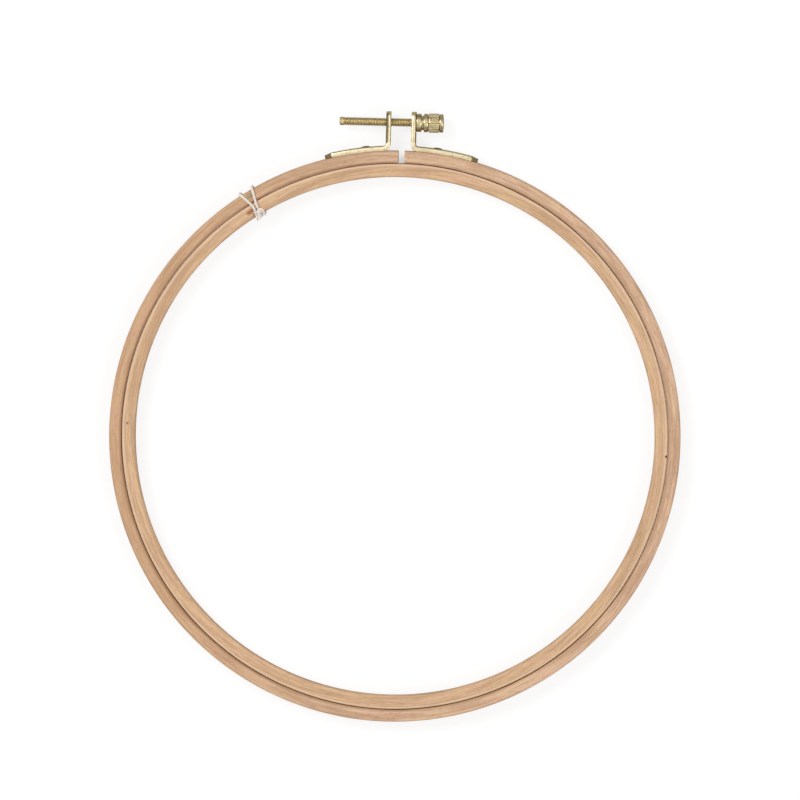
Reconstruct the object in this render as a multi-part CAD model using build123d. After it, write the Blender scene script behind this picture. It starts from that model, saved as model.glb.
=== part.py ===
from build123d import *
import math
import os

# A two-ring wooden embroidery hoop, in millimetres. It lies flat on z = 0, with its centre on the Z axis,
# its slit towards +Y, and its screw along X with the knob at +X. Angles round the hoop are in degrees from
# +Y, positive towards +X, unless they say otherwise.

# The two wooden rings
outer_diameter = 250.0
outer_wall = 5.2
ring_gap = 0.35
inner_wall = 5.85
ring_height = 9.5
outer_edge_radius = 0.8
inner_edge_radius = 1.0
slit_width = 2.7

# The pressed brackets. Each ear is set back from the slit's middle by its own distance.
sheet = 2.1
strip_width = 8.2
left_ear_setback = 4.9
right_ear_setback = 4.1
ear_above_screw = 4.7
ear_corner_radius = 2.6
bend_inner_radius = 0.9
foot_clearance = 0.05
foot_end_angle = 14.0
tip_end_angle = 15.4
tip_sheet = 1.6
tip_corner = 2.8

# The rivets that hold the brackets' feet
rivet_angle = 7.15
rivet_radius = 1.0
rivet_head_radius = 1.95
rivet_head_height = 0.55
clinch_radius = 1.75
clinch_height = 0.6
counterbore_radius = 2.3
counterbore_depth = 1.05
rivet_clearance = 0.05

# The screw: a threaded rod, and the holes it passes through
screw_above_ring = 12.4
rod_radius = 1.85
rod_tail = 20.4
rod_end_chamfer = 0.4
tapped_hole_radius = 2.2
clearance_hole_radius = 2.4

# The turned knob, band by band from the ear outwards. The other bands are turned down from the barrel.
knob_clearance = 0.08
flange_width = 2.1
flange_cut = 0.25
neck_width = 1.1
neck_cut = 1.05
collar_width = 1.7
collar_cut = 0.2
groove_width = 0.4
groove_cut = 0.6
barrel_width = 4.5
barrel_radius = 4.2
end_groove_width = 0.35
end_groove_cut = 0.45
cap_width = 1.5
cap_cut = 0.2
cap_rim = 0.5
cap_dome = 0.3
knob_edge = 0.18
knob_bore_depth = 7.5
knurl_count = 24
knurl_depth = 0.3

# The thread tied round both rings. Its angle is from +X, anticlockwise.
tie_angle = 122.5
tie_diameter = 1.1
tie_sides = 12
tie_clearance = 0.3
tie_least_gap = 0.4
crossing_rise = 1.62
widest_arc_share = 0.45

# One overrun serves every cut.
overrun = 1.0

outer_radius = outer_diameter / 2
outer_ring_bore = outer_radius - outer_wall
inner_ring_radius = outer_ring_bore - ring_gap
bore_radius = inner_ring_radius - inner_wall
mid_height = ring_height / 2
screw_y = outer_radius + screw_above_ring
foot_seat = outer_radius + foot_clearance
foot_back = foot_seat + sheet
knob_start = right_ear_setback + sheet + knob_clearance
flange_radius = barrel_radius - flange_cut
collar_radius = barrel_radius - collar_cut
cap_radius = barrel_radius - cap_cut


def polar(radius, angle):
    """A point in the hoop's plane, at a radius and an angle from +Y towards +X."""
    turn = math.radians(angle)
    return Vector(radius * math.sin(turn), radius * math.cos(turn))


def outward(radius, angle):
    """A plane at mid-height whose normal points out of the hoop along a radius."""
    spot = polar(radius, angle)
    return Plane(origin=(spot.X, spot.Y, mid_height), x_dir=(0, 0, 1), z_dir=polar(1, angle))


def along_screw(x):
    """A plane square to the screw, centred on its axis."""
    return Plane(origin=(x, screw_y, mid_height), x_dir=(0, 1, 0), z_dir=(1, 0, 0))


def wooden_ring(outside, wall, edge_radius):
    """A closed ring of rounded rectangular section, standing on z = 0."""
    section = Pos(outside - wall / 2, mid_height) * Rectangle(wall, ring_height)
    section = fillet(section.vertices(), edge_radius)
    return revolve(Plane.XZ * section, axis=Axis.Z)


def split_ring():
    """The outer ring, sawn through at the slit, with a counterbored rivet hole in each end."""
    ring = wooden_ring(outer_radius, outer_wall, outer_edge_radius)
    slit_length = outer_wall + 2 * overrun
    slit_middle = outer_radius - outer_wall / 2
    ring -= Pos(0, slit_middle, mid_height) * Box(slit_width, slit_length, ring_height + 2 * overrun)
    for angle in (-rivet_angle, rivet_angle):
        hole = Cylinder(rivet_radius + rivet_clearance, outer_wall + 2 * overrun)
        ring -= outward(slit_middle, angle) * hole
        pocket_height = counterbore_depth + overrun
        pocket_middle = outer_ring_bore + counterbore_depth - pocket_height / 2
        ring -= outward(pocket_middle, angle) * Cylinder(counterbore_radius, pocket_height)
    return ring


def bracket_outline(setback):
    """The bent strip seen from the front: ear, bend, foot along the ring, and the foot's lowered tip."""
    bend_outer_radius = bend_inner_radius + sheet
    centre_x = setback + bend_outer_radius
    centre_y = math.sqrt((foot_seat + bend_outer_radius) ** 2 - centre_x**2)
    centre = Vector(centre_x, centre_y)
    to_ring = centre.normalized() * -1
    to_slit = Vector(-1, 0)
    half_way = (to_ring + to_slit).normalized()
    bend_angle = math.degrees(math.atan2(centre_x, centre_y))
    mid_angle = (bend_angle + foot_end_angle) / 2
    ear_top = screw_y + ear_above_screw

    front_top = Vector(setback, ear_top)
    front_low = centre + to_slit * bend_outer_radius
    seat_start = centre + to_ring * bend_outer_radius
    seat_end = polar(foot_seat, tip_end_angle)
    tip_top = polar(foot_seat + tip_sheet, tip_end_angle)
    back_end = polar(foot_back, foot_end_angle)
    back_start = centre + to_ring * bend_inner_radius
    back_low = centre + to_slit * bend_inner_radius
    back_top = Vector(setback + sheet, ear_top)
    edges = [
        Line(front_top, front_low),
        ThreePointArc(front_low, centre + half_way * bend_outer_radius, seat_start),
        ThreePointArc(seat_start, polar(foot_seat, mid_angle), seat_end),
        Line(seat_end, tip_top),
        Line(tip_top, back_end),
        ThreePointArc(back_end, polar(foot_back, mid_angle), back_start),
        ThreePointArc(back_start, centre + half_way * bend_inner_radius, back_low),
        Line(back_low, back_top),
        Line(back_top, front_top),
    ]
    return make_face(edges)


def bracket(setback, screw_hole_radius):
    """A right-hand bracket: the strip with a rounded ear, a clipped tip, and its two holes."""
    low = mid_height - strip_width / 2
    strip = extrude(Pos(0, 0, low) * bracket_outline(setback), amount=strip_width)
    ear_corners = strip.edges().filter_by(Axis.X).group_by(Axis.Y)[-1]
    strip = fillet(ear_corners, ear_corner_radius)
    tip = polar(foot_seat + tip_sheet / 2, tip_end_angle)
    for height in (low, low + strip_width):
        corner = strip.edges().sort_by_distance((tip.X, tip.Y, height))[0]
        strip = chamfer(corner, tip_corner)
    hole_length = sheet + 2 * overrun
    strip -= along_screw(setback + sheet / 2) * Cylinder(screw_hole_radius, hole_length)
    rivet_hole = Cylinder(rivet_radius + rivet_clearance, hole_length)
    strip -= outward(foot_seat + sheet / 2, rivet_angle) * rivet_hole
    return strip


def dome_arc(radius, base, height):
    """A shallow spherical dome's half outline, from its rim to its top on the axis."""
    sphere = (radius**2 + height**2) / (2 * height)
    middle = math.sqrt(sphere**2 - (radius / 2) ** 2) - (sphere - height)
    return ThreePointArc((radius, base), (radius / 2, base + middle), (0, base + height))


def rivet(angle):
    """A rivet with a domed head on the foot and its clinched end in the ring's counterbore."""
    grip = foot_back - outer_ring_bore - counterbore_depth + rivet_clearance
    shank_end = -grip - clinch_height
    dome = dome_arc(rivet_head_radius, 0, rivet_head_height)
    sides = Polyline(
        (0, rivet_head_height),
        (0, shank_end),
        (clinch_radius - clinch_height / 2, shank_end),
        (clinch_radius, -grip - clinch_height / 2),
        (clinch_radius, -grip),
        (rivet_radius, -grip),
        (rivet_radius, 0),
        (rivet_head_radius, 0),
    )
    half = make_face([dome, *sides.edges()])
    return outward(foot_back, angle) * revolve(Plane.XZ * half, axis=Axis.Z)


def rod():
    """The threaded rod as a plain bar, from its free end to the floor of the knob's bore."""
    tail_end = -(left_ear_setback + sheet + rod_tail)
    length = knob_start + knob_bore_depth - tail_end
    bar = along_screw(tail_end + length / 2) * Cylinder(rod_radius, length)
    free_end = bar.edges().group_by(Axis.X)[0]
    return chamfer(free_end, rod_end_chamfer)


def knob():
    """The turned knob: a stack of bands with broken edges, a domed end and a straight-knurled barrel."""
    bands = [
        (flange_width, flange_radius),
        (neck_width, barrel_radius - neck_cut),
        (collar_width, collar_radius),
        (groove_width, barrel_radius - groove_cut),
        (barrel_width, barrel_radius),
        (end_groove_width, barrel_radius - end_groove_cut),
        (cap_width, cap_radius),
    ]
    points = [(0, 0)]
    reach = 0
    for width, radius in bands:
        points.append((radius, reach))
        reach += width
        points.append((radius, reach))
    points.append((cap_radius - cap_rim, reach))
    dome = dome_arc(cap_radius - cap_rim, reach, cap_dome)
    half = make_face([*Polyline(*points).edges(), dome, Line((0, reach + cap_dome), (0, 0))])
    body = revolve(Plane.XZ * half, axis=Axis.Z)
    broken_radii = (flange_radius, collar_radius, barrel_radius, cap_radius)
    rims = [
        edge
        for edge in body.edges().filter_by(GeomType.CIRCLE)
        if any(abs(edge.radius - radius) < knob_edge / 10 for radius in broken_radii)
    ]
    body = chamfer(rims, knob_edge)
    body -= Pos(0, 0, knob_bore_depth / 2) * Cylinder(rod_radius, knob_bore_depth)

    barrel_start = flange_width + neck_width + collar_width + groove_width
    groove = Rectangle(knurl_depth * math.sqrt(2), knurl_depth * math.sqrt(2), rotation=45)
    flutes = Sketch() + [spot * groove for spot in PolarLocations(barrel_radius, knurl_count)]
    body -= extrude(Pos(0, 0, barrel_start) * flutes, amount=barrel_width)
    return along_screw(knob_start) * body


# The thread's route, as centre points: out from the ring's middle, to the right along the rim, and up.
# It starts at one cut end, winds twice round both rings, and hooks back over itself to the other cut end.
thread_out = tie_clearance + tie_diameter / 2
over = ring_height + thread_out
under = -thread_out
outside = outer_radius + thread_out
inside = bore_radius - thread_out
crossing = over + crossing_rise
thread_route = [
    (112.3, -2.05, over + 0.1),
    (115.2, -1.2, over),
    (118.6, -0.85, over),
    (outside, -3.2, over),
    (outside, -3.2, under),
    (inside, 0.2, under),
    (inside, 0.2, over),
    (118.6, 0.85, over),
    (outside, 2.95, over),
    (outside, 2.95, under),
    (inside, 1.85, under),
    (inside, 1.85, over),
    (115.6, 1.9, crossing),
    (115.6, -0.5, crossing),
    (112.2, -0.45, crossing - 0.1),
]


def place_on_rim(out, along, up):
    """A point of the thread's own frame, turned to the tie's angle."""
    turn = math.radians(tie_angle)
    x = out * math.cos(turn) + along * math.sin(turn)
    y = out * math.sin(turn) - along * math.cos(turn)
    return Vector(x, y, up)


def corner_radii(points):
    """One radius for each corner: the wood's own edge where the thread turns round it, else a wide arc."""
    edge_radii = {outside: outer_edge_radius, inside: inner_edge_radius}
    radii = []
    for spot, before, corner, after in zip(thread_route[1:], points, points[1:], points[2:]):
        run_in = corner - before
        run_out = after - corner
        half_turn = math.radians(run_in.get_angle(run_out) / 2)
        shorter = min(run_in.length, run_out.length)
        if spot[0] in edge_radii:
            radii.append(edge_radii[spot[0]] + thread_out)
        else:
            radii.append(widest_arc_share * shorter / math.tan(half_turn))
    return radii


def thread():
    """The tie as one unbroken, many-sided tube swept along straight runs and tangent arcs."""
    points = [place_on_rim(*spot) for spot in thread_route]
    radii = corner_radii(points)
    path = FilletPolyline(*points, radius=radii)
    wire = Wire(path.edges())
    section = Plane(origin=wire @ 0, z_dir=wire % 0) * RegularPolygon(tie_diameter / 2, tie_sides)
    tube = sweep(section, path=wire)
    print("thread arc radii:", [round(radius, 2) for radius in radii])
    print("thread length:", round(wire.length, 2))
    print("thread volume over section times length:", round(tube.volume / (section.area * wire.length), 4))
    least = least_gap(wire)
    print("thread's least gap to itself:", round(least, 3))
    if least < tie_least_gap:
        print("the thread comes too near to itself")
    return tube


def least_gap(wire):
    """The least clear distance between two stretches of the thread, measured on points along it."""
    steps = 600
    spots = [wire.position_at(step / steps) for step in range(steps + 1)]
    apart = math.ceil(3 * tie_diameter / (wire.length / steps))
    nearest = min(
        (spots[here] - spots[there]).length
        for here in range(len(spots))
        for there in range(here + apart, len(spots))
    )
    return nearest - tie_diameter


pieces = {
    "inner_ring": wooden_ring(inner_ring_radius, inner_wall, inner_edge_radius),
    "outer_ring": split_ring(),
    "bracket_left": mirror(bracket(left_ear_setback, tapped_hole_radius), about=Plane.YZ),
    "bracket_right": bracket(right_ear_setback, clearance_hole_radius),
    "rivet_left": rivet(-rivet_angle),
    "rivet_right": rivet(rivet_angle),
    "screw_rod": rod(),
    "knob": knob(),
    "string_tie": thread(),
}

os.makedirs("parts", exist_ok=True)
for name, piece in pieces.items():
    piece.label = name
    export_step(piece, f"parts/{name}.step")
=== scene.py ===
import math
import random

import bmesh
import bpy
from mathutils import Matrix, Vector


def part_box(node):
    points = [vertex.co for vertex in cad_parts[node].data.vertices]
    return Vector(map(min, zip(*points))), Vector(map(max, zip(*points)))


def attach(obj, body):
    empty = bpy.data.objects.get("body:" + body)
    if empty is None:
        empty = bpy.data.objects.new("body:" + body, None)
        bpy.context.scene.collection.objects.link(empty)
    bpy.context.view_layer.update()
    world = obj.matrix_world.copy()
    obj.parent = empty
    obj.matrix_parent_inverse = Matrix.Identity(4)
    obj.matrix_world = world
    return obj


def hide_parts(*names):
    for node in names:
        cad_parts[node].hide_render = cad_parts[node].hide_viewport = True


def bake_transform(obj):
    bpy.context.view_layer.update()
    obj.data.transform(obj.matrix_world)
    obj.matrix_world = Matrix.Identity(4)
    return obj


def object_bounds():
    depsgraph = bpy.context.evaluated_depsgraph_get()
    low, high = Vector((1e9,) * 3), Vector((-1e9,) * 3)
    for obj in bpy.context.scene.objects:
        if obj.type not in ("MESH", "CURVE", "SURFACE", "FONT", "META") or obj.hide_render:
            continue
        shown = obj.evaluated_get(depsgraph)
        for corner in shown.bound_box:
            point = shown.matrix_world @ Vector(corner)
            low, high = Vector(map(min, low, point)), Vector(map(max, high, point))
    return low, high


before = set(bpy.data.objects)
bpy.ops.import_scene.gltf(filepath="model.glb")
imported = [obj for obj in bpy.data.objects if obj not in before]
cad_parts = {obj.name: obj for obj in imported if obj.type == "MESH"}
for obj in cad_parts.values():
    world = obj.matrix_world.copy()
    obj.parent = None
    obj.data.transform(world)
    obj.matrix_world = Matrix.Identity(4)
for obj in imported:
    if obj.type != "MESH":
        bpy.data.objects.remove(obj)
cad_low, cad_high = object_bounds()


# Inner ring. A strip of beech, planed to a rounded rectangle, steamed and bent round a form, with
# its tapered ends glued over each other in a long scarf. It is sanded and thinly waxed, and its
# outer top edge is painted paler: a painted highlight where its rounded edge catches the light.
inner_wall = 0.00585
inner_edge = 0.001
ring_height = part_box("inner_ring")[1].z
inner_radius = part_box("inner_ring")[1].x
bore_radius = inner_radius - inner_wall
ring_steps = 360


def rounded_section(inside, outside, height, edge):
    """A ring's cross-section as (radius, height) points, with rounded edges and divided sides."""
    corner_steps = 6
    side_steps = 4
    centres = [
        (outside - edge, edge, -90),
        (outside - edge, height - edge, 0),
        (inside + edge, height - edge, 90),
        (inside + edge, edge, 180),
    ]
    points = []
    for radius, up, start in centres:
        arc = []
        for step in range(corner_steps + 1):
            turn = math.radians(start + 90 * step / corner_steps)
            arc.append(Vector((radius + edge * math.cos(turn), up + edge * math.sin(turn))))
        if points:
            last = points[-1]
            points += [last.lerp(arc[0], step / side_steps) for step in range(1, side_steps)]
        points += arc
    last = points[-1]
    points += [last.lerp(points[0], step / side_steps) for step in range(1, side_steps)]
    return points


def finished(name, vertices, faces, smooth_angle=35):
    """A new object from points and faces, with outward normals and only its real corners sharp."""
    mesh = bpy.data.meshes.new(name)
    mesh.from_pydata(vertices, [], faces)
    shell = bmesh.new()
    shell.from_mesh(mesh)
    bmesh.ops.recalc_face_normals(shell, faces=shell.faces)
    shell.to_mesh(mesh)
    shell.free()
    mesh.shade_smooth()
    mesh.set_sharp_from_angle(angle=math.radians(smooth_angle))
    made = bpy.data.objects.new(name, mesh)
    bpy.context.scene.collection.objects.link(made)
    return made


def loft(name, sections, closed=False, smooth_angle=35):
    """A skin through sections of equal count, each a list of points. An open one gets flat ends."""
    count = len(sections[0])
    vertices = [point for section in sections for point in section]
    faces = []
    for here in range(len(sections) if closed else len(sections) - 1):
        there = (here + 1) % len(sections)
        for side in range(count):
            beside = (side + 1) % count
            near_pair = (here * count + side, here * count + beside)
            faces.append((*near_pair, there * count + beside, there * count + side))
    if not closed:
        faces.append(tuple(range(count)))
        faces.append(tuple(range(len(vertices) - count, len(vertices))))
    return finished(name, vertices, faces, smooth_angle)


def on_ring(radius, angle, up):
    """A point of a ring, at an angle from the hoop's lowest point towards the knob's side."""
    return Vector((radius * math.sin(angle), -radius * math.cos(angle), up))


def shader_node(tree, kind, inputs=None, **settings):
    """A shader node with its settings. Its inputs are set to values or joined to other outputs."""
    made = tree.nodes.new("ShaderNode" + kind)
    for name, value in settings.items():
        setattr(made, name, value)
    for socket, value in (inputs or {}).items():
        if isinstance(value, bpy.types.NodeSocket):
            tree.links.new(value, made.inputs[socket])
        else:
            made.inputs[socket].default_value = value
    return made


def math_node(tree, operation, first, second=0.0):
    """The output of one arithmetic node."""
    return shader_node(tree, "Math", {0: first, 1: second}, operation=operation).outputs[0]


def ramp(tree, value, low, high, low_out=0.0, high_out=1.0):
    """A value carried smoothly from one range to another and held at its ends."""
    inputs = {"Value": value, "From Min": low, "From Max": high}
    inputs |= {"To Min": low_out, "To Max": high_out}
    return shader_node(tree, "MapRange", inputs, interpolation_type="SMOOTHSTEP").outputs["Result"]


def mixed(tree, share, first, second):
    """Two colours mixed by a share from 0 to 1."""
    node = shader_node(tree, "Mix", data_type="RGBA", clamp_factor=True)
    for socket, value in (("Factor_Float", share), ("A_Color", first), ("B_Color", second)):
        target = next(each for each in node.inputs if each.identifier == socket)
        if isinstance(value, bpy.types.NodeSocket):
            tree.links.new(value, target)
        elif isinstance(value, (int, float)):
            target.default_value = value
        else:
            target.default_value = (*value, 1.0)
    return next(each for each in node.outputs if each.identifier == "Result_Color")


def cloud(tree, vector, scales, detail=4.0, roughness=0.55):
    """Noise from 0 to 1, with its own scale along each of the three directions."""
    scaling = {0: vector, 1: scales}
    stretched = shader_node(tree, "VectorMath", scaling, operation="MULTIPLY").outputs[0]
    inputs = {"Vector": stretched, "Scale": 1.0, "Detail": detail, "Roughness": roughness}
    return shader_node(tree, "TexNoise", inputs).outputs["Fac"]


def new_material(name):
    """An empty node material with its surface shader."""
    made = bpy.data.materials.new(name)
    made.use_nodes = True
    tree = made.node_tree
    return made, tree, tree.nodes["Principled BSDF"]


def along_the_ring(tree, scarf=0.0):
    """Wood coordinates that follow the bend: the length along the ring, the radius, and the height.

    A scarf slants the line where the strip's two ends meet, by that many radians for each metre of
    radius.
    """
    place = shader_node(tree, "TexCoord").outputs["Object"]
    parts = shader_node(tree, "SeparateXYZ", {0: place}).outputs
    flat = shader_node(tree, "CombineXYZ", {"X": parts["X"], "Y": parts["Y"]}).outputs[0]
    radius = shader_node(tree, "VectorMath", {0: flat}, operation="LENGTH").outputs["Value"]
    turning = {"Vector": flat, "Angle": math_node(tree, "MULTIPLY", radius, scarf)}
    turned = shader_node(tree, "VectorRotate", turning, rotation_type="Z_AXIS").outputs[0]
    turned_parts = shader_node(tree, "SeparateXYZ", {0: turned}).outputs
    back = math_node(tree, "MULTIPLY", turned_parts["Y"], -1.0)
    angle = math_node(tree, "ARCTAN2", turned_parts["X"], back)
    length = math_node(tree, "MULTIPLY", angle, inner_radius)
    grain = shader_node(tree, "CombineXYZ", {"X": length, "Y": radius, "Z": parts["Z"]}).outputs[0]
    return place, grain, radius


def near(tree, place, centre, reach):
    """A soft mask that is 1 at a point and falls to 0 at its reach."""
    pair = {0: place, 1: centre}
    distance = shader_node(tree, "VectorMath", pair, operation="DISTANCE").outputs["Value"]
    return ramp(tree, distance, 0.0, reach, 1.0, 0.0)


def beech(name, pale, deep, shift, scarf=0.0):
    """Beech: patches of tone and hue, growth lines, fibres and ray flecks along the bend.

    The shift moves the whole pattern, so that the two rings differ.
    """
    made, tree, surface = new_material(name)
    place, grain, radius = along_the_ring(tree, scarf)
    shifted = {0: grain, 1: (shift, shift, shift)}
    grain = shader_node(tree, "VectorMath", shifted, operation="ADD").outputs[0]
    broad = cloud(tree, grain, (30, 160, 110), 2.0)
    hue = cloud(tree, grain, (240, 900, 700), 3.0, 0.6)
    rosy = cloud(tree, grain, (190, 1400, 1100), 3.0, 0.6)
    lines = cloud(tree, grain, (75, 1500, 900), 5.0, 0.66)
    fibres = cloud(tree, grain, (330, 4600, 3800), 3.0, 0.6)
    flecks = cloud(tree, grain, (520, 2700, 2400), 2.0, 0.5)
    streaked = math_node(tree, "MULTIPLY", lines, 0.65)
    tone = math_node(tree, "ADD", math_node(tree, "MULTIPLY", broad, 0.35), streaked)
    golden = [pale[0], pale[1] * 1.05, pale[2] * 0.82]
    pinkish = [pale[0] * 1.04, pale[1] * 0.92, pale[2] * 0.93]
    warm = mixed(tree, ramp(tree, hue, 0.4, 0.62), pale, golden)
    warm = mixed(tree, ramp(tree, rosy, 0.47, 0.62), warm, pinkish)
    colour = mixed(tree, ramp(tree, tone, 0.40, 0.60), deep, warm)
    colour = mixed(tree, ramp(tree, fibres, 0.46, 0.74, 0.0, 0.5), colour, (0.40, 0.22, 0.11))
    colour = mixed(tree, ramp(tree, flecks, 0.64, 0.73, 0.0, 0.8), colour, (0.26, 0.125, 0.055))
    rough = ramp(tree, lines, 0.3, 0.7, 0.5, 0.66)
    tree.links.new(rough, surface.inputs["Roughness"])
    raised = math_node(tree, "MULTIPLY", fibres, 0.6)
    relief = math_node(tree, "ADD", raised, math_node(tree, "MULTIPLY", lines, 0.6))
    bump = shader_node(tree, "Bump", {"Strength": 0.35, "Distance": 0.00008, "Height": relief})
    tree.links.new(bump.outputs[0], surface.inputs["Normal"])
    surface.inputs["Specular IOR Level"].default_value = 0.35
    return made, tree, surface, colour, place, radius


inner_section = rounded_section(bore_radius, inner_radius, ring_height, inner_edge)
inner_ring = loft(
    "inner_ring_wood",
    [
        [on_ring(point.x, math.tau * step / ring_steps, point.y) for point in inner_section]
        for step in range(ring_steps)
    ],
    closed=True,
)
pale_inner = (0.745, 0.500, 0.322)
deep_inner = (0.545, 0.335, 0.192)
edge_highlight_colour = (0.86, 0.64, 0.46)
scarf_slope = 75
highlight_start = inner_radius - 0.0013
highlight_full = inner_radius - 0.0004
inner_shift = 0.3
inner_wood, tree, surface, colour, place, radius = beech(
    "inner_wood", pale_inner, deep_inner, inner_shift, scarf_slope
)
# A painted highlight: a paler band along the outer top edge, where the rounding catches the light.
edge_highlight = ramp(tree, radius, highlight_start, highlight_full, 0.0, 0.75)
colour = mixed(tree, edge_highlight, colour, edge_highlight_colour)
for angle, reach in ((213.3, 0.0016), (214.0, 0.0017), (214.6, 0.0013)):
    stain = near(tree, place, on_ring(0.1168, math.radians(angle), ring_height), reach)
    colour = mixed(tree, stain, colour, (0.31, 0.125, 0.042))
# A painted shadow of the tie on the inner ring beside the knot.
tie_shadow = near(tree, place, on_ring(0.1148, math.radians(213.4), ring_height), 0.0018)
colour = mixed(tree, math_node(tree, "MULTIPLY", tie_shadow, 0.7), colour, (0.27, 0.14, 0.06))
fleck = near(tree, place, on_ring(0.1172, math.radians(-91.5), ring_height), 0.0009)
colour = mixed(tree, math_node(tree, "MULTIPLY", fleck, 0.85), colour, (0.10, 0.05, 0.025))
dot = near(tree, place, on_ring(0.1192, math.radians(87.2), ring_height), 0.0010)
colour = mixed(tree, ramp(tree, dot, 0.0, 0.6), colour, (0.06, 0.035, 0.02))
tree.links.new(colour, surface.inputs["Base Color"])

hidden_side, tree, surface = new_material("gripping_side")
grain = along_the_ring(tree)[1]
saw_marks = cloud(tree, grain, (900, 300, 2200), 3.0)
streaks = cloud(tree, grain, (60, 900, 1800), 4.0, 0.6)
colour = mixed(tree, ramp(tree, streaks, 0.35, 0.65), (0.60, 0.38, 0.21), (0.78, 0.54, 0.33))
colour = mixed(tree, ramp(tree, saw_marks, 0.55, 0.75, 0.0, 0.4), colour, (0.40, 0.23, 0.11))
tree.links.new(colour, surface.inputs["Base Color"])
bump = shader_node(tree, "Bump", {"Strength": 0.4, "Distance": 0.0001, "Height": saw_marks})
tree.links.new(bump.outputs[0], surface.inputs["Normal"])
surface.inputs["Roughness"].default_value = 1.0
surface.inputs["Specular IOR Level"].default_value = 0.0
inner_ring.data.materials.append(inner_wood)
inner_ring.data.materials.append(hidden_side)
grip_reach = inner_radius - inner_edge * 0.12
grip_top = ring_height - inner_edge * 0.6
for face in inner_ring.data.polygons:
    if face.center.xy.length > grip_reach and face.center.z < grip_top:
        face.material_index = 1
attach(inner_ring, "inner_hoop")
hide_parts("inner_ring")


# Outer ring. A second beech strip, bent a little larger and sawn through once at the slit, so that
# the screw can draw it tight. Each sawn end is drilled for its bracket's rivet, with a pocket
# inside for the rivet's clinched end.
outer_wall = 0.0052
outer_edge = 0.0008
half_slit = 0.00135
outer_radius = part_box("outer_ring")[1].x
outer_bore = outer_radius - outer_wall
bend_reach = 0.0012
rivet_angle = math.radians(7.15)
rivet_hole = 0.00105
pocket_radius = 0.0023
pocket_depth = 0.00105
mid_height = ring_height / 2
overrun = 0.001


def lathe(name, profile, place, steps=48, shape=None, smooth_angle=35):
    """A turned piece: (radius, along) points carried round a place's Z axis, varied by a shape."""
    sections = []
    for radius, along in profile:
        section = []
        for step in range(steps):
            turn = math.tau * step / steps
            reach = shape(radius, along, turn) if shape else radius
            section.append(place @ Vector((reach * math.cos(turn), reach * math.sin(turn), along)))
        sections.append(section)
    return loft(name, sections, smooth_angle=smooth_angle)


def cut(piece, cutter):
    """Takes the cutter's shape out of the piece for good."""
    change = piece.modifiers.new("cut", "BOOLEAN")
    change.object = cutter
    change.solver = "EXACT"
    solved = piece.evaluated_get(bpy.context.evaluated_depsgraph_get())
    mesh = bpy.data.meshes.new_from_object(solved)
    piece.modifiers.clear()
    piece.data = mesh
    bpy.data.objects.remove(cutter)


def looking(origin, direction):
    """A place whose Z axis points in a direction."""
    turned = Vector(direction).to_track_quat("Z", "Y").to_matrix().to_4x4()
    return Matrix.Translation(origin) @ turned


outer_section = rounded_section(outer_bore, outer_radius, ring_height, outer_edge)
bend_angle = bend_reach / outer_radius
half_steps = ring_steps // 2
turns = [math.pi * step / half_steps for step in range(-half_steps, half_steps + 1) if step]
turns += [bend_angle * step / 4 for step in range(-4, 5)]
turns.sort()
slit_turn = [math.pi - math.asin(half_slit / point.x) for point in outer_section]
outer_ring = loft(
    "outer_ring_wood",
    [
        [
            on_ring(point.x, max(-limit, min(limit, turn)), point.y)
            for point, limit in zip(outer_section, slit_turn)
        ]
        for turn in turns
    ],
)
for side in (-1, 1):
    direction = on_ring(1, math.pi - side * rivet_angle, 0)
    inner_end = looking(direction * outer_bore + Vector((0, 0, mid_height)), direction)
    hole = [(rivet_hole, -overrun), (rivet_hole, outer_wall + overrun)]
    cut(outer_ring, lathe("hole", hole, inner_end))
    pocket = [(pocket_radius, -overrun), (pocket_radius, pocket_depth)]
    cut(outer_ring, lathe("pocket", pocket, inner_end))
outer_ring.data.shade_smooth()
outer_ring.data.set_sharp_from_angle(angle=math.radians(35))

pale_outer = (0.755, 0.512, 0.360)
deep_outer = (0.530, 0.325, 0.202)
outer_shift = 1.7
outer_wood, tree, surface, colour, place, radius = beech(
    "outer_wood", pale_outer, deep_outer, outer_shift
)
across = shader_node(tree, "SeparateXYZ", {0: place}).outputs["X"]
# The ring is painted darker towards its left side.
leftward_darkening = ramp(tree, across, -0.11, 0.0, 0.42, 0.0)
colour = mixed(tree, leftward_darkening, colour, (0.49, 0.27, 0.115))
# Painted shade on the outer ring's inner rounded edge beside the gap, heavier on the left side.
shade_by_side = ramp(tree, across, -0.08, 0.03, 0.75, 0.3)
shade_full = outer_bore + 0.0002
shade_end = outer_bore + 0.0014
shaded = ramp(tree, radius, shade_full, shade_end, 1.0, 0.0)
colour = mixed(tree, math_node(tree, "MULTIPLY", shaded, shade_by_side), colour, (0.35, 0.18, 0.085))
# Painted shade on the outer ring between the tie's strands, mottled olive-brown.
between_strands_shade = near(tree, place, on_ring(0.1228, math.radians(212.4), ring_height), 0.003)
shade_mottling = ramp(tree, cloud(tree, place, (900, 900, 900), 3.0), 0.35, 0.6, 0.35, 0.9)
colour = mixed(tree, math_node(tree, "MULTIPLY", between_strands_shade, shade_mottling), colour, (0.30, 0.24, 0.11))
tree.links.new(colour, surface.inputs["Base Color"])

end_grain, tree, surface = new_material("end_grain")
place = shader_node(tree, "TexCoord").outputs["Object"]
pores = cloud(tree, place, (200, 5200, 5200), 2.0)
layers = cloud(tree, place, (60, 2200, 500), 3.0)
colour = mixed(tree, ramp(tree, layers, 0.35, 0.65), (0.36, 0.20, 0.10), (0.55, 0.34, 0.19))
colour = mixed(tree, ramp(tree, pores, 0.6, 0.72, 0.0, 0.7), colour, (0.16, 0.08, 0.04))
tree.links.new(colour, surface.inputs["Base Color"])
bump = shader_node(tree, "Bump", {"Strength": 0.4, "Distance": 0.0001, "Height": pores})
tree.links.new(bump.outputs[0], surface.inputs["Normal"])
surface.inputs["Roughness"].default_value = 0.8

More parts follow.
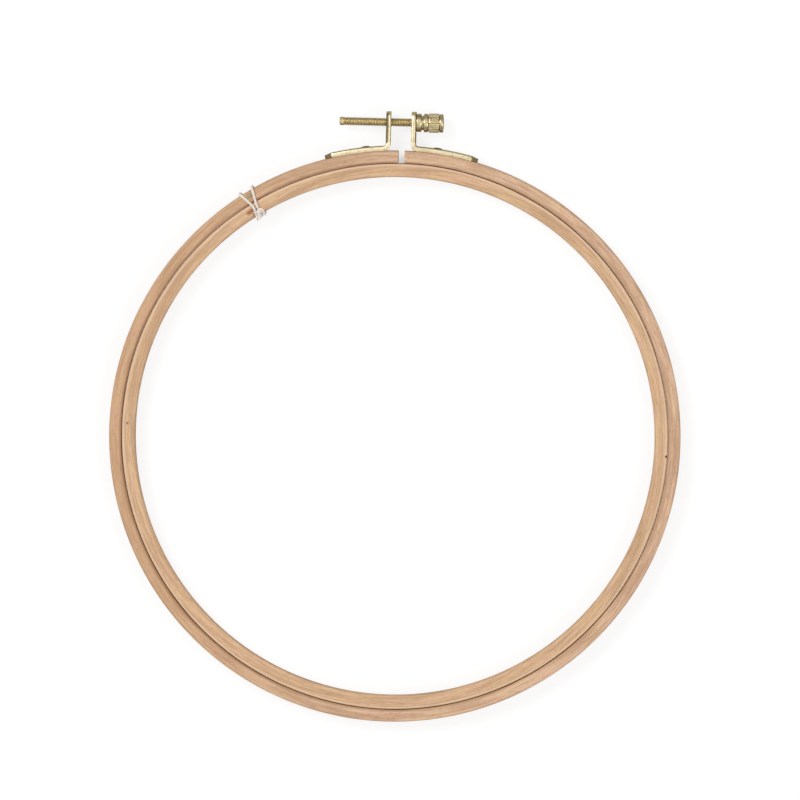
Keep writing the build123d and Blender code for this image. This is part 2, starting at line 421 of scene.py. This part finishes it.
outer_ring.data.materials.clear()
outer_ring.data.materials.append(outer_wood)
outer_ring.data.materials.append(end_grain)
outer_ring.data.materials.append(hidden_side)
grip_reach = outer_bore + outer_edge * 0.12
grip_top = ring_height - outer_edge * 0.6
for face in outer_ring.data.polygons:
    if face.center.y > 0 and abs(face.center.x) < half_slit * 1.01 and abs(face.normal.x) > 0.9:
        face.material_index = 1
    elif face.center.xy.length < grip_reach and face.center.z < grip_top:
        face.material_index = 2
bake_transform(outer_ring)
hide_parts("outer_ring")


# Brackets. Two strips of brass sheet, each punched with two holes, with its foot's corners clipped
# and its ear's corners rounded. Each is bent up in a press, and its foot is rolled to the ring's
# curve.
sheet = 0.0021
strip_half_width = 0.0041
screw_y = 0.1374
ear_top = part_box("bracket_left")[1].y
ear_corner = 0.0026
bend_inner = 0.0009
seat_gap = 0.00005
foot_seat = outer_radius + seat_gap
foot_end = math.radians(14.0)
tip_end = math.radians(15.4)
tip_sheet = 0.0016
tip_corner = 0.0028
soft_edge = 0.00018
ear_rolls = {-1: 0.00125, 1: 0.0005}
bend_roll = 0.0003
foot_roll = 0.00045
roll_slope = 0.62
ear_drops = (0.0, soft_edge, 0.0005, 0.0009, 0.0014, 0.002, ear_corner, 0.005, 0.008)
bend_lead = 0.0008
bend_steps = 12
foot_steps = 16
tip_steps = 8
left_setback = 0.0049
right_setback = 0.0041
left_hole = 0.0022
right_hole = 0.0024


def strip_section(front, back, half_width, inset, roll):
    """The strip's cross-section: crisp edges in front, rolled over by the shears behind."""
    thickness = (back - front).length
    across = (back - front).normalized()
    edge = soft_edge - inset * 0.7
    low = half_width - inset
    near_side = inset + edge
    far_side = thickness - inset
    half = [
        (inset, 0.0),
        (inset, low - edge),
        (inset + edge * 0.3, low - edge * 0.3),
        (near_side, low),
        (far_side - roll, low),
        (far_side - roll * 0.85, low - roll * 0.06),
        (far_side - roll * 0.12, low - roll * roll_slope * 0.85),
        (far_side, low - roll * roll_slope * 1.25),
    ]
    outline = half + [(depth, -up) for depth, up in reversed(half[1:])]
    section = []
    for depth, up in outline:
        spot = front + across * depth
        section.append(Vector((spot.x, spot.y, mid_height + up)))
    return section


def from_top(radius, angle):
    """A point round the hoop, at an angle from +Y towards +X."""
    return Vector((radius * math.sin(angle), radius * math.cos(angle)))


def even_steps(first, last, steps):
    """Even steps from the first value to the last, without the first."""
    return [first + (last - first) * step / steps for step in range(1, steps + 1)]


def bracket(name, side, setback, screw_hole):
    """One bracket: a strip carried down the ear, round the bend and along the foot to its tip."""
    bend_outer = bend_inner + sheet
    centre_x = setback + bend_outer
    centre = Vector((centre_x, math.sqrt((foot_seat + bend_outer) ** 2 - centre_x**2)))
    stations = []
    for drop in ear_drops:
        up = ear_top - drop
        short = max(ear_corner - drop, 0)
        half_width = strip_half_width - ear_corner + math.sqrt(ear_corner**2 - short**2)
        inset = 0
        if drop == 0:
            half_width = strip_half_width - ear_corner + soft_edge * 3
            inset = soft_edge
        front = Vector((setback, up))
        back = Vector((setback + sheet, up))
        stations.append((front, back, half_width, inset, ear_rolls[side]))
    above = Vector((0, bend_lead))
    front = centre + Vector((-bend_outer, 0)) + above
    back = centre + Vector((-bend_inner, 0)) + above
    stations.append((front, back, strip_half_width, 0, ear_rolls[side]))
    to_ring = math.atan2(-centre.y, -centre.x) + math.tau
    for step in range(bend_steps + 1):
        turn = math.pi + (to_ring - math.pi) * step / bend_steps
        direction = Vector((math.cos(turn), math.sin(turn)))
        front = centre + direction * bend_outer
        back = centre + direction * bend_inner
        stations.append((front, back, strip_half_width, 0, bend_roll))
    start = math.atan2(centre.x, centre.y)
    for angle in even_steps(start, foot_end, foot_steps) + even_steps(foot_end, tip_end, tip_steps):
        past = max(angle - foot_end, 0) / (tip_end - foot_end)
        thickness = sheet + (tip_sheet - sheet) * past
        left = (tip_end - angle) * foot_seat
        half_width = min(strip_half_width, strip_half_width - tip_corner + left)
        front = from_top(foot_seat, angle)
        back = from_top(foot_seat + thickness, angle)
        stations.append((front, back, half_width, 0, foot_roll))
    sections = []
    for station in stations:
        section = strip_section(*station)
        sections.append([Vector((side * spot.x, spot.y, spot.z)) for spot in section])
    made = loft(name, sections)
    reach = sheet + 2 * overrun
    screw_place = looking((side * (setback - overrun), screw_y, mid_height), (side, 0, 0))
    cut(made, lathe("hole", [(screw_hole, 0), (screw_hole, reach)], screw_place, 64))
    direction = on_ring(1, math.pi - side * rivet_angle, 0)
    rivet_place = looking(direction * (foot_seat - overrun) + Vector((0, 0, mid_height)), direction)
    cut(made, lathe("hole", [(rivet_hole, 0), (rivet_hole, reach)], rivet_place))
    made.data.shade_smooth()
    made.data.set_sharp_from_angle(angle=math.radians(35))
    return made


def openness(tree, reach):
    """From 0 in a deep corner to 1 in the open, felt within a reach."""
    return shader_node(tree, "AmbientOcclusion", {"Distance": reach}, samples=8).outputs["AO"]


def brass(name, clean, tarnish, scale, dullness, corner_reach=0.0012):
    """Brass with patches of tarnish that break its shine, fine scratches, and corners darkened
    partly as grime and partly as painted shade.
    """
    made, tree, surface = new_material(name)
    place = shader_node(tree, "TexCoord").outputs["Object"]
    patches = cloud(tree, place, (scale, scale, scale), 5.0, 0.6)
    specks = cloud(tree, place, (3200, 3200, 3200), 3.0, 0.6)
    scratches = cloud(tree, place, (7000, 700, 900), 2.0, 0.6)
    open_sky = openness(tree, corner_reach)
    # Corners are darkened by an occlusion mask: partly grime, partly painted shade.
    grime_and_shade = math_node(tree, "MULTIPLY", ramp(tree, open_sky, 0.25, 0.85, 1.0, 0.0), 0.8)
    tarnish_grime_and_shade = math_node(tree, "MAXIMUM", ramp(tree, patches, 0.42, 0.66, 0.05, 0.75), grime_and_shade)
    colour = mixed(tree, tarnish_grime_and_shade, clean, tarnish)
    colour = mixed(tree, ramp(tree, specks, 0.62, 0.74, 0.0, 0.5), colour, tarnish)
    tree.links.new(colour, surface.inputs["Base Color"])
    wear = ramp(tree, patches, 0.3, 0.7, dullness, dullness + 0.16)
    rough = math_node(tree, "ADD", wear, ramp(tree, scratches, 0.5, 0.8, 0.0, 0.1))
    tree.links.new(rough, surface.inputs["Roughness"])
    height = math_node(tree, "ADD", math_node(tree, "MULTIPLY", scratches, 0.5), patches)
    bump = shader_node(tree, "Bump", {"Strength": 0.25, "Distance": 0.00005, "Height": height})
    tree.links.new(bump.outputs[0], surface.inputs["Normal"])
    surface.inputs["Metallic"].default_value = 1.0
    return made


bracket_brass = brass("bracket_brass", (0.95, 0.83, 0.57), (0.60, 0.49, 0.27), 420, 0.3)
painted_shade_brass = brass("painted_shade_brass", (0.50, 0.42, 0.25), (0.26, 0.21, 0.12), 700, 0.42)
bracket_left = bracket("bracket_left_brass", -1, left_setback, left_hole)
bracket_right = bracket("bracket_right_brass", 1, right_setback, right_hole)
ear_foot = outer_radius + 0.0045
tip_start = foot_end - math.radians(0.3)
for piece, body, node in (
    (bracket_left, "outer_hoop", "bracket_left"),
    (bracket_right, "right_fitting", "bracket_right"),
):
    piece.data.materials.clear()
    piece.data.materials.append(bracket_brass)
    piece.data.materials.append(painted_shade_brass)
    # The ears' rolled faces and the feet's clipped tips take the darker brass: painted shade and a
    # painted dark reflection.
    for face in piece.data.polygons:
        spot = face.center
        on_ear = spot.y > ear_foot
        tilted = abs(face.normal.x) > 0.3 and abs(face.normal.z) > 0.3
        on_tip = math.atan2(abs(spot.x), spot.y) > tip_start
        if (on_ear and tilted and abs(spot.z - mid_height) > strip_half_width * 0.6) or on_tip:
            face.material_index = 1
    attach(piece, body)
    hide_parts(node)


# Rivets. Brass pins with a domed head outside the foot. Each is pushed through the foot and the
# wood, and its soft end is clinched into a flat button in the ring's pocket.
rivet_radius = 0.001
head_radius = 0.00195
head_height = 0.00055
head_rim = 0.12
clinch_radius = 0.00175
clinch_height = 0.0006
foot_back = foot_seat + sheet
grip = foot_back - outer_bore - pocket_depth + seat_gap
axis_gap = 0.0001
rivet_brass = brass("rivet_brass", (0.50, 0.41, 0.22), (0.19, 0.15, 0.075), 900, 0.34)
rivet_profile = [
    (axis_gap, -grip - clinch_height),
    (clinch_radius - clinch_height / 2, -grip - clinch_height),
    (clinch_radius - clinch_height / 8, -grip - clinch_height * 0.75),
    (clinch_radius, -grip - clinch_height / 2),
    (clinch_radius, -grip),
    (rivet_radius, -grip),
    (rivet_radius, 0.0),
    (head_radius * 0.97, 0.0),
    (head_radius, head_height * head_rim),
]
for step in range(1, 9):
    share = 1 - step / 8.2
    rise = head_rim + (1 - head_rim) * math.sqrt(1 - share**2)
    rivet_profile.append((head_radius * share, head_height * rise))
for side, body, node in ((-1, "outer_hoop", "rivet_left"), (1, "right_fitting", "rivet_right")):
    direction = on_ring(1, math.pi - side * rivet_angle, 0)
    place = looking(direction * foot_back + Vector((0, 0, mid_height)), direction)
    rivet = lathe(node + "_brass", rivet_profile, place, 40)
    rivet.data.materials.append(rivet_brass)
    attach(rivet, body)
    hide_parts(node)


# Threaded rod. Brass wire with a 0.7 mm thread rolled into it, except for a short plain land at its
# free end. It passes through both ears, and its other end is fixed in the knob.
thread_pitch = 0.0007
thread_depth = 0.00043
rod_radius = 0.00185
crest_share = 0.12
flank_share = 0.62
end_land = 0.0014
end_chamfer = 0.0004
rod_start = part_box("screw_rod")[0].x
rod_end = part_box("screw_rod")[1].x
knob_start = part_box("knob")[0].x
stations_per_turn = 14


def thread_radius(x, turn):
    """The rod's radius along it: flat crests and roots with straight flanks, fading at the land."""
    phase = (x / thread_pitch - turn / math.tau) % 1.0
    from_crest = abs(phase - 0.5) * 2
    flank = min(max((from_crest - crest_share) / flank_share, 0.0), 1.0)
    fade = min(max((x - rod_start - end_land) / thread_pitch, 0.0), 1.0)
    return rod_radius - thread_depth * (1 - flank) * fade


rod_profile = [(rod_radius - end_chamfer, rod_start), (rod_radius, rod_start + end_chamfer)]
station_count = int((knob_start - rod_start - end_chamfer) / thread_pitch * stations_per_turn)
for step in range(1, station_count + 1):
    along = rod_start + end_chamfer + step * thread_pitch / stations_per_turn
    rod_profile.append((rod_radius, along))
rod_profile.append((rod_radius - thread_depth / 2, rod_end - end_chamfer))
rod_profile.append((rod_radius - thread_depth / 2, rod_end))


def rod_shape(radius, along, turn):
    """The thread's radius on the open stretch of the rod, and the profile's own at both ends."""
    threaded = rod_start + end_chamfer < along < knob_start
    return min(radius, thread_radius(along, turn)) if threaded else radius


screw_axis = Matrix(((0, 0, 1, 0), (1, 0, 0, screw_y), (0, 1, 0, mid_height), (0, 0, 0, 1)))
screw_rod = lathe("screw_rod_brass", rod_profile, screw_axis, 48, rod_shape, 50)
rod_brass = brass("rod_brass", (0.83, 0.70, 0.40), (0.46, 0.36, 0.17), 600, 0.4, 0.0005)
screw_rod.data.materials.append(rod_brass)
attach(screw_rod, "screw")
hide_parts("screw_rod")


# Knob. Turned from brass bar in bands: a flange against the ear, a neck, a collar, the barrel and a
# domed cap. The barrel has a straight knurl of 24 pressed grooves for the fingers.
barrel_radius = 0.0042
band_edge = 0.00018
knurl_count = 24
knurl_depth = 0.0003
bands = [
    (0.0021, barrel_radius - 0.00025),
    (0.0011, barrel_radius - 0.00105),
    (0.0017, barrel_radius - 0.0002),
    (0.0004, barrel_radius - 0.0006),
    (0.0045, barrel_radius),
    (0.00035, barrel_radius - 0.00045),
    (0.0015, barrel_radius - 0.0002),
]
band_steps = 4
cap_rim = 0.0005
cap_dome = 0.0003
knob_profile = [(axis_gap, knob_start)]
reach = knob_start
for width, radius in bands:
    if radius == barrel_radius:
        barrel_start, barrel_end = reach, reach + width
    for share, drop in ((0.0, 1.0), (0.3, 0.3), (1.0, 0.0)):
        knob_profile.append((radius - band_edge * drop, reach + band_edge * share))
    straight = width - 2 * band_edge
    for step in range(1, band_steps):
        knob_profile.append((radius, reach + band_edge + straight * step / band_steps))
    reach += width
    for share, drop in ((1.0, 0.0), (0.3, 0.3), (0.0, 1.0)):
        knob_profile.append((radius - band_edge * drop, reach - band_edge * share))
cap_face = bands[-1][1] - cap_rim
for step in range(7):
    share = 1 - step / 6.1
    knob_profile.append((cap_face * share, reach + cap_dome * (1 - share**2)))


def knob_shape(radius, along, turn):
    """The barrel's radius with its V-shaped grooves, which run out at its bevelled rims."""
    if not barrel_start - 1e-9 <= along <= barrel_end + 1e-9:
        return radius
    pitch = math.tau / knurl_count
    off_groove = abs((turn / pitch + 0.5) % 1.0 - 0.5) * pitch * barrel_radius
    groove = max(knurl_depth - off_groove, 0.0)
    return min(radius, barrel_radius - groove)


knob = lathe("knob_brass", knob_profile, screw_axis, knurl_count * 12, knob_shape, 28)
knob_brass = brass("knob_brass", (0.93, 0.80, 0.49), (0.26, 0.19, 0.08), 620, 0.2, 0.0008)
knob.data.materials.append(knob_brass)
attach(knob, "screw")
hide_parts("knob")


# Tie. One length of cream cotton thread, wound twice round both rings to keep them together for
# sale. It starts at a cut end, is hooked back over itself into a knot on the inner ring, and ends
# in a second short tail.
tie_angle = math.radians(122.5)
tie_radius = 0.00055
tie_clearance = 0.0003
thread_out = tie_clearance + tie_radius
over = ring_height + thread_out
under = -thread_out
outside = outer_radius + thread_out
inside = bore_radius - thread_out
hook_rise = 0.00162
crossing = over + hook_rise
# The route's points: how far out from the hoop's centre, how far along the rim, and how high.
thread_route = [
    (0.1123, -0.00205, over + 0.0001),
    (0.1152, -0.0012, over),
    (0.1186, -0.00085, over),
    (outside, -0.0032, over),
    (outside, -0.0032, under),
    (inside, 0.0002, under),
    (inside, 0.0002, over),
    (0.1186, 0.00085, over),
    (outside, 0.00295, over),
    (outside, 0.00295, under),
    (inside, 0.00185, under),
    (inside, 0.00185, over),
    (0.1156, 0.0019, crossing),
    (0.1156, -0.0005, crossing),
    (0.1122, -0.00045, crossing - 0.0001),
]
edge_radii = {outside: outer_edge + thread_out, inside: inner_edge + thread_out}


def place_on_rim(out, along, up):
    """A point of the thread's own frame, turned to the tie's angle."""
    x = out * math.cos(tie_angle) + along * math.sin(tie_angle)
    y = out * math.sin(tie_angle) - along * math.cos(tie_angle)
    return Vector((x, y, up))


def with_shoulders(route):
    """The route, with a point before and after each turn round the wood to keep it tight."""
    points = [place_on_rim(*spot) for spot in route]
    full = [points[0]]
    for spot, before, corner, after in zip(route[1:], points, points[1:], points[2:]):
        if spot[0] in edge_radii:
            run_in = (before - corner).normalized()
            run_out = (after - corner).normalized()
            shoulder = 2 * edge_radii[spot[0]] * math.tan((math.pi - run_in.angle(run_out)) / 2)
            full += [
                corner + run_in * min(shoulder, 0.45 * (before - corner).length),
                corner,
                corner + run_out * min(shoulder, 0.45 * (after - corner).length),
            ]
        else:
            full.append(corner)
    return full + [points[-1]]


def line_points(name, points):
    """A smooth line through a route, as evenly read points."""
    curve = bpy.data.curves.new(name, "CURVE")
    curve.dimensions = "3D"
    spline = curve.splines.new("NURBS")
    spline.points.add(len(points) - 1)
    for knot, point in zip(spline.points, points):
        knot.co = (*point, 1.0)
    spline.order_u = 3
    spline.use_endpoint_u = True
    spline.resolution_u = 24
    holder = bpy.data.objects.new(name, curve)
    bpy.context.scene.collection.objects.link(holder)
    solved = holder.evaluated_get(bpy.context.evaluated_depsgraph_get())
    mesh = bpy.data.meshes.new_from_object(solved)
    read = [vertex.co.copy() for vertex in mesh.vertices]
    bpy.data.objects.remove(holder)
    return read


def evenly(points, spacing):
    """Points at one spacing along a line."""
    spaced = [points[0]]
    left = spacing
    for here, there in zip(points, points[1:]):
        length = (there - here).length
        done = 0.0
        while length - done >= left:
            done += left
            spaced.append(here.lerp(there, done / length))
            left = spacing
        left -= length - done
    return spaced


def frames_along(points):
    """At each point of a line, two directions square to it that don't twist about it."""
    frames = []
    side = None
    for index, point in enumerate(points):
        before = points[max(index - 1, 0)]
        after = points[min(index + 1, len(points) - 1)]
        forward = (after - before).normalized()
        if side is None:
            side = forward.orthogonal().normalized()
        side = (side - forward * side.dot(forward)).normalized()
        frames.append((point, side, forward.cross(side)))
    return frames


ply_count = 3
ply_radius = 0.00031
ply_offset = 0.00029
twist_length = 0.0034
loosening = 0.4
loosened_length = 0.0012
thinning = 0.45
thinned_length = 0.0006
swelling = 0.06
swell_rate = 5200
ply_lag = 2.1
step_length = 0.00012
tie_line = evenly(line_points("tie_line", with_shoulders(thread_route)), step_length)
tie_frames = frames_along(tie_line)
dice = random.Random(7)


def tube_along(name, centres, radii, sides=10):
    """A closed tube round a line of points, with its own radius at each point."""
    turns = [math.tau * step / sides for step in range(sides)]
    sections = []
    for (point, side, up), radius in zip(frames_along(centres), radii):
        section = []
        for turn in turns:
            section.append(point + side * radius * math.cos(turn) + up * radius * math.sin(turn))
        sections.append(section)
    return loft(name, sections, smooth_angle=60)


def twisted(name, frames):
    """Three plies twisted round a line, a little looser and thinner at its ends."""
    made = []
    for ply in range(ply_count):
        centres = []
        radii = []
        for index, (point, side, up) in enumerate(frames):
            walked = index * step_length
            turn = math.tau * (walked / twist_length + ply / ply_count)
            to_end = min(index, len(frames) - 1 - index) * step_length
            loose = 1 + loosening * max(1 - to_end / loosened_length, 0)
            spoke = side * math.cos(turn) + up * math.sin(turn)
            centres.append(point + spoke * ply_offset * loose)
            swell = 1 + swelling * math.sin(walked * swell_rate + ply * ply_lag)
            radii.append(ply_radius * swell * (1 - thinning * max(1 - to_end / thinned_length, 0)))
        made.append(tube_along(f"{name}_{ply}", centres, radii))
    return made


plies = twisted("ply", tie_frames)
knot_out = 0.1151
knot_half_width = 0.00175
knot_height = 0.001
knot_slant = 0.0007
knot_steps = 8
knot_route = []
for step in range(knot_steps + 1):
    turn = math.pi * step / knot_steps
    out = knot_out - knot_slant * math.cos(turn)
    up = over + knot_height * math.sin(turn)
    knot_route.append(place_on_rim(out, knot_half_width * math.cos(turn), up))
plies += twisted("knot", frames_along(evenly(line_points("knot_line", knot_route), step_length)))

hair_count = 14
hair_radii = [0.00005, 0.00005, 0.000045, 0.00004, 0.00002]
hair_shares = (0, 0.25, 0.5, 0.75, 1)
hair_lowest = ring_height + 0.0001
for end, inward in ((0, 1), (len(tie_frames) - 1, -1)):
    point, side, up = tie_frames[end]
    forward = (tie_frames[end][0] - tie_frames[end + inward * 4][0]).normalized()
    for _ in range(hair_count):
        turn = dice.uniform(0, math.tau)
        spread = side * math.cos(turn) + up * math.sin(turn)
        root = point + spread * dice.uniform(0, 0.0003) - forward * 0.0005
        tip = root + forward * dice.uniform(0.0006, 0.0012) + spread * dice.uniform(0.0001, 0.0005)
        if tip.z < hair_lowest:
            tip.z = hair_lowest
        bend = root.lerp(tip, 0.5) + up * dice.uniform(-0.0001, 0.0001)
        hairs = [root.lerp(bend, share).lerp(bend.lerp(tip, share), share) for share in hair_shares]
        plies.append(tube_along("hair", hairs, hair_radii, 5))

for piece in plies[1:]:
    joined = bmesh.new()
    joined.from_mesh(plies[0].data)
    joined.from_mesh(piece.data)
    joined.to_mesh(plies[0].data)
    joined.free()
    bpy.data.objects.remove(piece)
string_tie = plies[0]
string_tie.name = "string_tie_cotton"
string_tie.data.shade_smooth()

cotton, tree, surface = new_material("cotton_thread")
place = shader_node(tree, "TexCoord").outputs["Object"]
fuzz = cloud(tree, place, (2600, 2600, 2600), 4.0, 0.65)
soil = cloud(tree, place, (420, 420, 420), 3.0)
fold_shade = openness(tree, 0.0006)
colour = mixed(tree, ramp(tree, fuzz, 0.3, 0.7), (0.80, 0.71, 0.62), (0.95, 0.90, 0.84))
colour = mixed(tree, ramp(tree, soil, 0.5, 0.75, 0.0, 0.45), colour, (0.80, 0.62, 0.54))
# Painted shade darkens the thread in its deep folds.
colour = mixed(tree, ramp(tree, fold_shade, 0.2, 0.8, 0.6, 0.0), colour, (0.42, 0.29, 0.20))
tree.links.new(colour, surface.inputs["Base Color"])
bump = shader_node(tree, "Bump", {"Strength": 0.5, "Distance": 0.00008, "Height": fuzz})
tree.links.new(bump.outputs[0], surface.inputs["Normal"])
surface.inputs["Roughness"].default_value = 0.92
surface.inputs["Sheen Weight"].default_value = 0.25
surface.inputs["Sheen Roughness"].default_value = 0.5
string_tie.data.materials.append(cotton)
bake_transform(string_tie)
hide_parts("string_tie")


# Floor and light. The hoop lies on a white sheet, in the even light of a studio, with its main lamp
# high at the left. The sheet shows white to the camera and keeps the hoop's soft shadow, and the
# metal mirrors a dimmer room, in which the sheet is painted a dim grey: a painted dark reflection.
floor_half = 1.5
floor_drop = 0.0002
floor_z = cad_low.z - floor_drop
floor_mesh = bpy.data.meshes.new("floor")
square = ((-1, -1), (1, -1), (1, 1), (-1, 1))
floor_corners = [(floor_half * x, floor_half * y, floor_z) for x, y in square]
floor_mesh.from_pydata(floor_corners, [], [(0, 1, 2, 3)])
floor = bpy.data.objects.new("floor", floor_mesh)
bpy.context.scene.collection.objects.link(floor)
sheet_white, tree, surface = new_material("white_sheet")
tree.nodes.remove(surface)
ray = shader_node(tree, "LightPath").outputs
paper = cloud(tree, shader_node(tree, "TexCoord").outputs["Object"], (300, 300, 300), 3.0)
seen = mixed(tree, paper, (0.95, 0.95, 0.95), (0.96, 0.96, 0.96))
# In reflections the sheet is painted a dim brown-grey: a painted dark reflection for the metal.
tone = mixed(tree, ray["Is Glossy Ray"], seen, (0.42, 0.38, 0.32))
matt = shader_node(tree, "BsdfDiffuse", {"Color": tone}).outputs[0]
# Deep between the two rings the sheet's glow is painted dark brown in place of white: a painted
# shadow.
open_sky = openness(tree, 0.006)
glow_with_painted_shadow = mixed(tree, ramp(tree, open_sky, 0.12, 0.27), (0.15, 0.075, 0.03), (1.0, 1.0, 1.0))
glow = shader_node(tree, "Emission", {"Color": glow_with_painted_shadow, "Strength": 1.04}).outputs[0]
both = shader_node(tree, "MixShader", {0: 0.78, 1: matt, 2: glow}).outputs[0]
shown = shader_node(tree, "MixShader", {0: ray["Is Camera Ray"], 1: matt, 2: both}).outputs[0]
tree.links.new(shown, tree.nodes["Material Output"].inputs["Surface"])
floor.data.materials.append(sheet_white)

world = bpy.data.worlds.new("studio")
world.use_nodes = True
tree = world.node_tree
sky = tree.nodes["Background"]
direction = shader_node(tree, "TexCoord").outputs["Generated"]
up = shader_node(tree, "SeparateXYZ", {0: direction}).outputs["Z"]
dome = mixed(tree, ramp(tree, up, 0.15, 0.85), (0.30, 0.30, 0.31), (0.92, 0.92, 0.92))
ray = shader_node(tree, "LightPath").outputs
tree.links.new(mixed(tree, ray["Is Camera Ray"], dome, (1.0, 1.0, 1.0)), sky.inputs["Color"])
sky.inputs["Strength"].default_value = 0.75
bpy.context.scene.world = world


def soft_lamp(name, place, size, power):
    """A square soft box that faces the hoop."""
    lamp = bpy.data.lights.new(name, "AREA")
    lamp.shape = "SQUARE"
    lamp.size = size
    lamp.energy = power
    holder = bpy.data.objects.new(name, lamp)
    holder.location = place
    holder.rotation_euler = (-Vector(place)).to_track_quat("-Z", "Y").to_euler()
    bpy.context.scene.collection.objects.link(holder)
    return holder


soft_lamp("main_lamp", (-1.4, 1.1, 2.5), 1.2, 36)
soft_lamp("fill_lamp", (1.7, -0.7, 2.4), 1.5, 20)


# Camera. It hangs above the hoop on a long lens, leaning a few degrees towards the screw, so that
# the outer wall shows at the top of the picture and the inner wall at the bottom.
camera_distance = 6.0
frame_width = 0.3498
lean = math.radians(3.0)
side_lean = math.radians(1.2)
roll = math.radians(1.42)
aim_right = 0.00235
aim_up = 0.0161
right = Vector((math.cos(roll), math.sin(roll), 0))
upward = Vector((-math.sin(roll), math.cos(roll), 0))
aim = right * aim_right + upward * aim_up + Vector((0, 0, ring_height))
lens = bpy.data.cameras.new("camera")
lens.sensor_width = 36.0
lens.lens = lens.sensor_width * camera_distance / frame_width
camera = bpy.data.objects.new("camera", lens)
bpy.context.scene.collection.objects.link(camera)
backward = Vector((math.sin(side_lean), math.sin(lean), math.cos(lean))).normalized()
sideways = (right - backward * right.dot(backward)).normalized()
camera.matrix_world = Matrix.Translation(aim + backward * camera_distance) @ Matrix(
    (sideways, backward.cross(sideways), backward)
).transposed().to_4x4()
bpy.context.scene.camera = camera
bpy.context.scene.view_settings.view_transform = "Standard"
